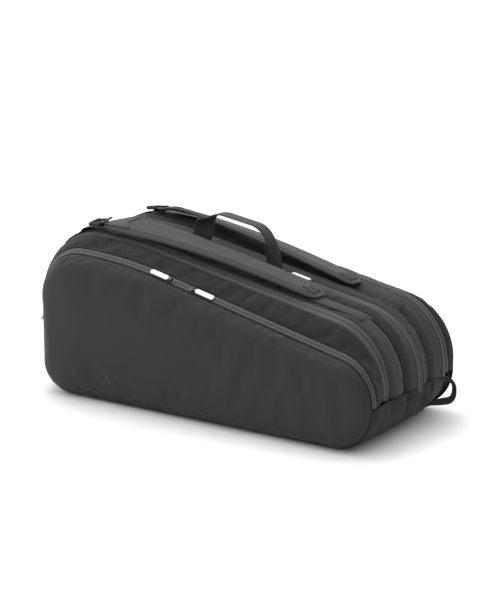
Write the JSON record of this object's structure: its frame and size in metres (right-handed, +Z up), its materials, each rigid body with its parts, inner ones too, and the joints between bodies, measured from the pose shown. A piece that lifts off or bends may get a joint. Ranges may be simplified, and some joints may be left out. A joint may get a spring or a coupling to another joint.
{
  "type": "racket tournament bag",
  "caption": "Wedge-shaped padded bag with side-by-side zipped racket compartments, a front pocket, shoulder straps, a carry handle and an end loop.",
  "frame": {"origin": "middle of the underside of the base panel, which rests on the floor", "axes": "+X runs along the length towards the low grip end, -Y faces out of the front panel, +Z is up"},
  "size_m": [0.8195, 0.3413, 0.3505],
  "materials": {
    "gusset_fabric": "matte woven polyester",
    "panel_fabric": "smooth coated polyester",
    "shoulder_fabric": "matte coated polyester",
    "zip_tape": "ribbed reverse-coil tape with a soft sheen",
    "lining": "brushed lining",
    "board": "matte",
    "piping": "matte",
    "slider_metal": "semi-gloss",
    "pull_rubber": "satin",
    "strap_fabric": "fine woven with bound edges",
    "buckle_plastic": "satin moulded",
    "webbing": "ribbed nylon"
  },
  "bodies": {
    "bag": {"base_panel": "gusset_fabric", "base_board": "board", "low_end_skirt": "gusset_fabric", "tall_end_skirt": "gusset_fabric", "front_divider": "lining", "rear_divider": "lining", "front_shoulder": "shoulder_fabric", "centre_front_gusset": "shoulder_fabric", "centre_rear_gusset": "shoulder_fabric", "rear_shoulder": "shoulder_fabric", "front_zip_rear_tape": "zip_tape", "centre_zip_front_tape": "zip_tape", "centre_zip_rear_tape": "zip_tape", "rear_zip_front_tape": "zip_tape", "front_webbing": "webbing", "front_strap_tail": "strap_fabric", "rear_webbing": "webbing", "rear_strap_tail": "strap_fabric", "handle_tabs": "webbing", "loop_tabs": "webbing"},
    "front_shell": {"front_gusset": "gusset_fabric", "pocket_back": "lining", "front_zip_front_tape": "zip_tape", "pocket_zip_rear_tape": "zip_tape"},
    "pocket_lid": {"front_panel": "panel_fabric", "front_foam": "lining", "front_piping": "piping", "pocket_zip_front_tape": "zip_tape"},
    "rear_shell": {"rear_gusset": "gusset_fabric", "back_panel": "panel_fabric", "back_foam": "lining", "rear_piping": "piping", "rear_zip_rear_tape": "zip_tape"},
    "pocket_slider_a": {"pocket_slider_a": "slider_metal"},
    "pocket_pull_a": {"pocket_link_a": "slider_metal", "pocket_tab_a": "pull_rubber"},
    "pocket_slider_b": {"pocket_slider_b": "slider_metal"},
    "pocket_pull_b": {"pocket_link_b": "slider_metal", "pocket_tab_b": "pull_rubber"},
    "front_slider": {"front_slider": "slider_metal"},
    "front_pull": {"front_link": "slider_metal", "front_tab": "pull_rubber"},
    "centre_slider": {"centre_slider": "slider_metal"},
    "centre_pull": {"centre_link": "slider_metal", "centre_tab": "pull_rubber"},
    "rear_slider": {"rear_slider": "slider_metal"},
    "rear_pull": {"rear_link": "slider_metal", "rear_tab": "pull_rubber"},
    "front_strap_root": {"front_pad_root": "strap_fabric"},
    "front_strap_tip": {"front_pad_tip": "strap_fabric"},
    "front_buckle_body": {"front_buckle": "buckle_plastic"},
    "rear_strap_root": {"rear_pad_root": "strap_fabric"},
    "rear_strap_tip": {"rear_pad_tip": "strap_fabric"},
    "rear_buckle_body": {"rear_buckle": "buckle_plastic"},
    "handle": {"carry_handle": "webbing"},
    "loop": {"end_loop": "webbing"}
  },
  "joints": [
    {"name": "front_compartment_open", "type": "hinge", "parent": "bag", "child": "front_shell", "pos_m": [0, -0.158, 0.008], "axis": [1, 0, 0], "range_deg": [0, 26]},
    {"name": "front_pocket_open", "type": "hinge", "parent": "front_shell", "child": "pocket_lid", "pos_m": [0, -0.16, 0.008], "axis": [1, 0, 0], "range_deg": [0, 14]},
    {"name": "rear_compartment_open", "type": "hinge", "parent": "bag", "child": "rear_shell", "pos_m": [0, 0.145, 0.008], "axis": [-1, 0, 0], "range_deg": [0, 26]},
    {"name": "pocket_slider_a_run", "type": "slide", "parent": "pocket_lid", "child": "pocket_slider_a", "axis": [0.9735, 0, -0.2288], "range_m": [-0.056, 0.016]},
    {"name": "pocket_pull_a_turn", "type": "hinge", "parent": "pocket_slider_a", "child": "pocket_pull_a", "pos_m": [-0.05331, -0.15456, 0.25138], "axis": [0.1051, 0.8882, 0.4472], "range_deg": [0, 100]},
    {"name": "pocket_slider_b_run", "type": "slide", "parent": "pocket_lid", "child": "pocket_slider_b", "axis": [0.9735, 0, -0.2288], "range_m": [-0.01, 0.24]},
    {"name": "pocket_pull_b_turn", "type": "hinge", "parent": "pocket_slider_b", "child": "pocket_pull_b", "pos_m": [-0.00531, -0.15456, 0.2401], "axis": [-0.1051, -0.8882, -0.4472], "range_deg": [0, 100]},
    {"name": "front_slider_run", "type": "slide", "parent": "bag", "child": "front_slider", "axis": [0, 0, 1], "range_m": [-0.055, 0.012]},
    {"name": "front_pull_turn", "type": "hinge", "parent": "front_slider", "child": "front_pull", "pos_m": [-0.3834, -0.099, 0.153], "axis": [0, 1, 0], "range_deg": [-35, 65]},
    {"name": "centre_slider_run", "type": "slide", "parent": "bag", "child": "centre_slider", "axis": [0.981, 0, -0.1942], "range_m": [-0.2, 0.14]},
    {"name": "centre_pull_turn", "type": "hinge", "parent": "centre_slider", "child": "centre_pull", "pos_m": [0.08966, 0.01, 0.25271], "axis": [0, -1, 0], "range_deg": [0, 100]},
    {"name": "rear_slider_run", "type": "slide", "parent": "bag", "child": "rear_slider", "axis": [0, 0, 1], "range_m": [-0.055, 0.012]},
    {"name": "rear_pull_turn", "type": "hinge", "parent": "rear_slider", "child": "rear_pull", "pos_m": [-0.3854, 0.11, 0.153], "axis": [0, 1, 0], "range_deg": [0, 100]},
    {"name": "front_strap_lift", "type": "hinge", "parent": "bag", "child": "front_strap_root", "pos_m": [0.203, -0.06, 0.236], "axis": [-0.058, 0.9983, 0], "range_deg": [0, 20]},
    {"name": "front_strap_fold", "type": "hinge", "parent": "front_strap_root", "child": "front_strap_tip", "pos_m": [-0.0295, -0.0735, 0.28], "axis": [-0.058, 0.9983, 0], "range_deg": [-40, 0]},
    {"name": "front_buckle_turn", "type": "hinge", "parent": "front_strap_tip", "child": "front_buckle_body", "pos_m": [-0.262, -0.087, 0.324], "axis": [-0.058, 0.9983, 0], "range_deg": [0, 20]},
    {"name": "rear_strap_lift", "type": "hinge", "parent": "bag", "child": "rear_strap_root", "pos_m": [0.203, 0.06, 0.236], "axis": [0.058, 0.9983, 0], "range_deg": [0, 20]},
    {"name": "rear_strap_fold", "type": "hinge", "parent": "rear_strap_root", "child": "rear_strap_tip", "pos_m": [-0.0295, 0.0735, 0.28], "axis": [0.058, 0.9983, 0], "range_deg": [-40, 0]},
    {"name": "rear_buckle_turn", "type": "hinge", "parent": "rear_strap_tip", "child": "rear_buckle_body", "pos_m": [-0.262, 0.087, 0.324], "axis": [0.058, 0.9983, 0], "range_deg": [0, 20]},
    {"name": "handle_tilt", "type": "hinge", "parent": "bag", "child": "handle", "pos_m": [-0.007, -0.014, 0.27489], "axis": [0.981, 0, -0.1942], "range_deg": [-10, 8]},
    {"name": "end_loop_swing", "type": "hinge", "parent": "bag", "child": "loop", "pos_m": [0.36325, 0.052, 0.0655], "axis": [0.1576, 0, 0.9875], "range_deg": [-35, 35]}
  ],
  "couplings": [
    {"joint": "front_strap_fold", "follows": "front_strap_lift", "ratio": -2},
    {"joint": "front_buckle_turn", "follows": "front_strap_lift", "ratio": 1},
    {"joint": "rear_strap_fold", "follows": "rear_strap_lift", "ratio": -2},
    {"joint": "rear_buckle_turn", "follows": "rear_strap_lift", "ratio": 1}
  ]
}
